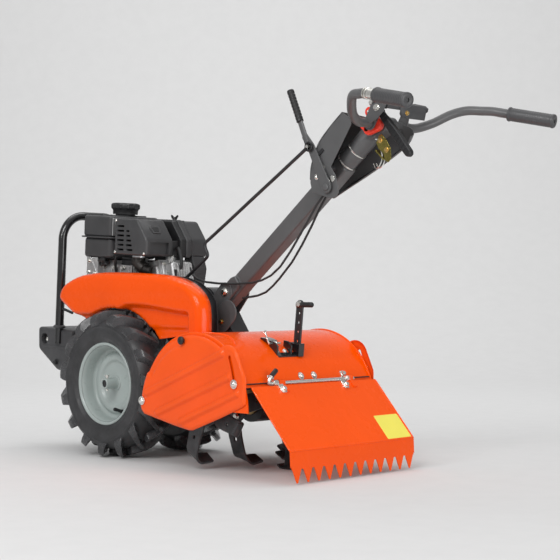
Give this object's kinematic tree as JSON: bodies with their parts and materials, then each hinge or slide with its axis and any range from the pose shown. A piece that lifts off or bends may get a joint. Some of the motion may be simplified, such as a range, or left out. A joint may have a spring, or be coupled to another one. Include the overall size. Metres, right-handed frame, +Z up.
{
  "type": "rear-tine tiller",
  "caption": "Walk-behind rear-tine tiller: petrol engine over rubber drive wheels, bladed rotor under a hood with a hinged rear flap, and a sloping column to the handlebar.",
  "frame": {"origin": "on the ground, below the middle of the whole machine's bounding box", "axes": "+X backwards to the operator, +Y to the machine's right, +Z up"},
  "size_m": [1.5605, 0.5928, 0.9676],
  "materials": {
    "black_paint": "satin black paint",
    "grey_paint": "satin mid-grey paint",
    "orange_paint": "gloss orange paint",
    "red_orange_paint": "gloss red-orange paint",
    "weight_paint": "textured dark grey paint",
    "rim_paint": "light grey-green paint",
    "dark_plastic": "matt dark grey plastic",
    "black_plastic": "matt black plastic",
    "red_plastic": "gloss red plastic",
    "white_ceramic": "white ceramic and black cap",
    "steel": "machined steel",
    "zinc": "zinc plate",
    "alloy": "cast aluminium",
    "bronze": "sintered bronze",
    "burnt_steel": "heat-stained steel",
    "tyre": "black tread rubber",
    "rubber": "black rubber",
    "foam": "oiled filter foam"
  },
  "bodies": {
    "chassis": {"case_left": "black_paint", "case_right": "black_paint", "shaft_bushes": "bronze", "engine_deck": "black_paint", "front_weight": "weight_paint", "front_bumper": "black_paint", "belt_cover": "orange_paint", "belt_cover_back": "black_paint", "drive_belt": "rubber", "tine_chain": "steel", "crankcase": "alloy", "cylinder_block": "alloy", "valve_cover": "alloy", "fuel_tank": "dark_plastic", "muffler": "burnt_steel", "muffler_guard": "dark_plastic", "air_cleaner_base": "black_plastic", "air_cleaner_cover": "dark_plastic", "air_filter": "foam", "carburettor": "alloy", "blower_housing": "black_paint", "recoil_starter": "black_plastic", "spark_plug": "white_ceramic", "tine_hood": "orange_paint", "hood_sides": "orange_paint", "hinge_rod": "zinc", "frame_bolts": "zinc", "shield_knobs": "black_plastic", "stake_bracket": "black_paint", "column": "grey_paint", "column_ears": "grey_paint", "console": "grey_paint", "handle_stem": "grey_paint", "control_cables": "rubber"},
    "wheels": {"axle": "steel", "rim_left": "rim_paint", "rim_right": "rim_paint", "tyre_left": "tyre", "tyre_right": "tyre", "hub_pins": "zinc"},
    "tines": {"tine_shaft": "steel", "tines_left": "weight_paint", "tines_right": "weight_paint"},
    "engine_drive": {"engine_pulley": "steel"},
    "input_drive": {"input_shaft": "steel", "driven_pulley": "grey_paint"},
    "idler": {"idler_arm": "zinc"},
    "flap": {"flap": "orange_paint"},
    "stake": {"stake": "black_paint"},
    "stake_latch": {"stake_latch": "zinc"},
    "shield_left": {"shield_left": "red_orange_paint"},
    "shield_right": {"shield_right": "red_orange_paint"},
    "handlebar": {"handlebar": "grey_paint", "grips": "rubber"},
    "clutch_lever": {"clutch_lever": "black_plastic"},
    "drive_bail": {"drive_bail": "grey_paint"},
    "shift_lever": {"shift_lever": "grey_paint"},
    "shift_rod": {"shift_rod": "black_paint"},
    "fuel_cap": {"fuel_cap": "black_plastic"},
    "lock_lever": {"lock_lever": "red_plastic"}
  },
  "joints": [
    {"name": "wheel_spin", "type": "hinge", "parent": "chassis", "child": "wheels", "pos_m": [-0.39, 0, 0.203], "axis": [0, 1, 0], "continuous": true},
    {"name": "engine_spin", "type": "hinge", "parent": "chassis", "child": "engine_drive", "pos_m": [-0.465, 0, 0.473], "axis": [0, 1, 0], "continuous": true},
    {"name": "input_spin", "type": "hinge", "parent": "chassis", "child": "input_drive", "pos_m": [-0.135, 0, 0.425], "axis": [0, 1, 0], "continuous": true},
    {"name": "tine_spin", "type": "hinge", "parent": "chassis", "child": "tines", "pos_m": [0.04, 0, 0.168], "axis": [0, 1, 0], "continuous": true},
    {"name": "drive_bail", "type": "hinge", "parent": "handlebar", "child": "drive_bail", "pos_m": [0.498, 0, 0.908], "axis": [0, 1, 0], "range_deg": [-15, 0], "stiffness_Nm_per_rad": 1},
    {"name": "idler_swing", "type": "hinge", "parent": "chassis", "child": "idler", "pos_m": [-0.222, -0.113, 0.448], "axis": [0, 1, 0], "range_deg": [-18, 0]},
    {"name": "clutch_lever", "type": "hinge", "parent": "handlebar", "child": "clutch_lever", "pos_m": [0.503, -0.05, 0.888], "axis": [0, 1, 0], "range_deg": [-35, 0], "stiffness_Nm_per_rad": 1},
    {"name": "handlebar_height", "type": "hinge", "parent": "chassis", "child": "handlebar", "pos_m": [0.478, 0, 0.862], "axis": [0, 1, 0], "range_deg": [-10, 10]},
    {"name": "handle_lock", "type": "hinge", "parent": "chassis", "child": "lock_lever", "pos_m": [0.456, -0.034, 0.893], "axis": [0, 1, 0], "range_deg": [-25, 0]},
    {"name": "shift_lever", "type": "hinge", "parent": "chassis", "child": "shift_lever", "pos_m": [0.345, -0.069, 0.715], "axis": [0, 1, 0], "range_deg": [-8, 8]},
    {"name": "shift_rod_slide", "type": "slide", "parent": "chassis", "child": "shift_rod", "axis": [-0.8585, 0.042, -0.5111], "range_m": [-0.017, 0.017]},
    {"name": "rear_flap", "type": "hinge", "parent": "chassis", "child": "flap", "pos_m": [0.239, 0, 0.232], "axis": [0, 1, 0], "range_deg": [-75, 0]},
    {"name": "depth_stake", "type": "slide", "parent": "chassis", "child": "stake", "axis": [0.1045, 0, 0.9945], "range_m": [-0.08, 0]},
    {"name": "stake_latch", "type": "hinge", "parent": "chassis", "child": "stake_latch", "pos_m": [0.161, -0.064, 0.326], "axis": [0, 1, 0], "range_deg": [-12, 0]},
    {"name": "shield_swing_left", "type": "hinge", "parent": "chassis", "child": "shield_left", "pos_m": [-0.146, -0.239, 0.174], "axis": [0, 1, 0], "range_deg": [0, 9]},
    {"name": "shield_swing_right", "type": "hinge", "parent": "chassis", "child": "shield_right", "pos_m": [-0.146, 0.239, 0.174], "axis": [0, 1, 0], "range_deg": [0, 9]},
    {"name": "fuel_cap_turn", "type": "hinge", "parent": "chassis", "child": "fuel_cap", "pos_m": [-0.51368, 0.005, 0.67635], "axis": [0.0611, 0, 0.9981], "range_deg": [0, 90]}
  ],
  "couplings": [
    {"joint": "input_spin", "follows": "engine_spin", "ratio": 0.45161},
    {"joint": "tine_spin", "follows": "engine_spin", "ratio": 0.2075},
    {"joint": "idler_swing", "follows": "drive_bail", "ratio": 1.2},
    {"joint": "shift_rod_slide", "follows": "shift_lever", "m_per_rad": -0.1143}
  ]
}
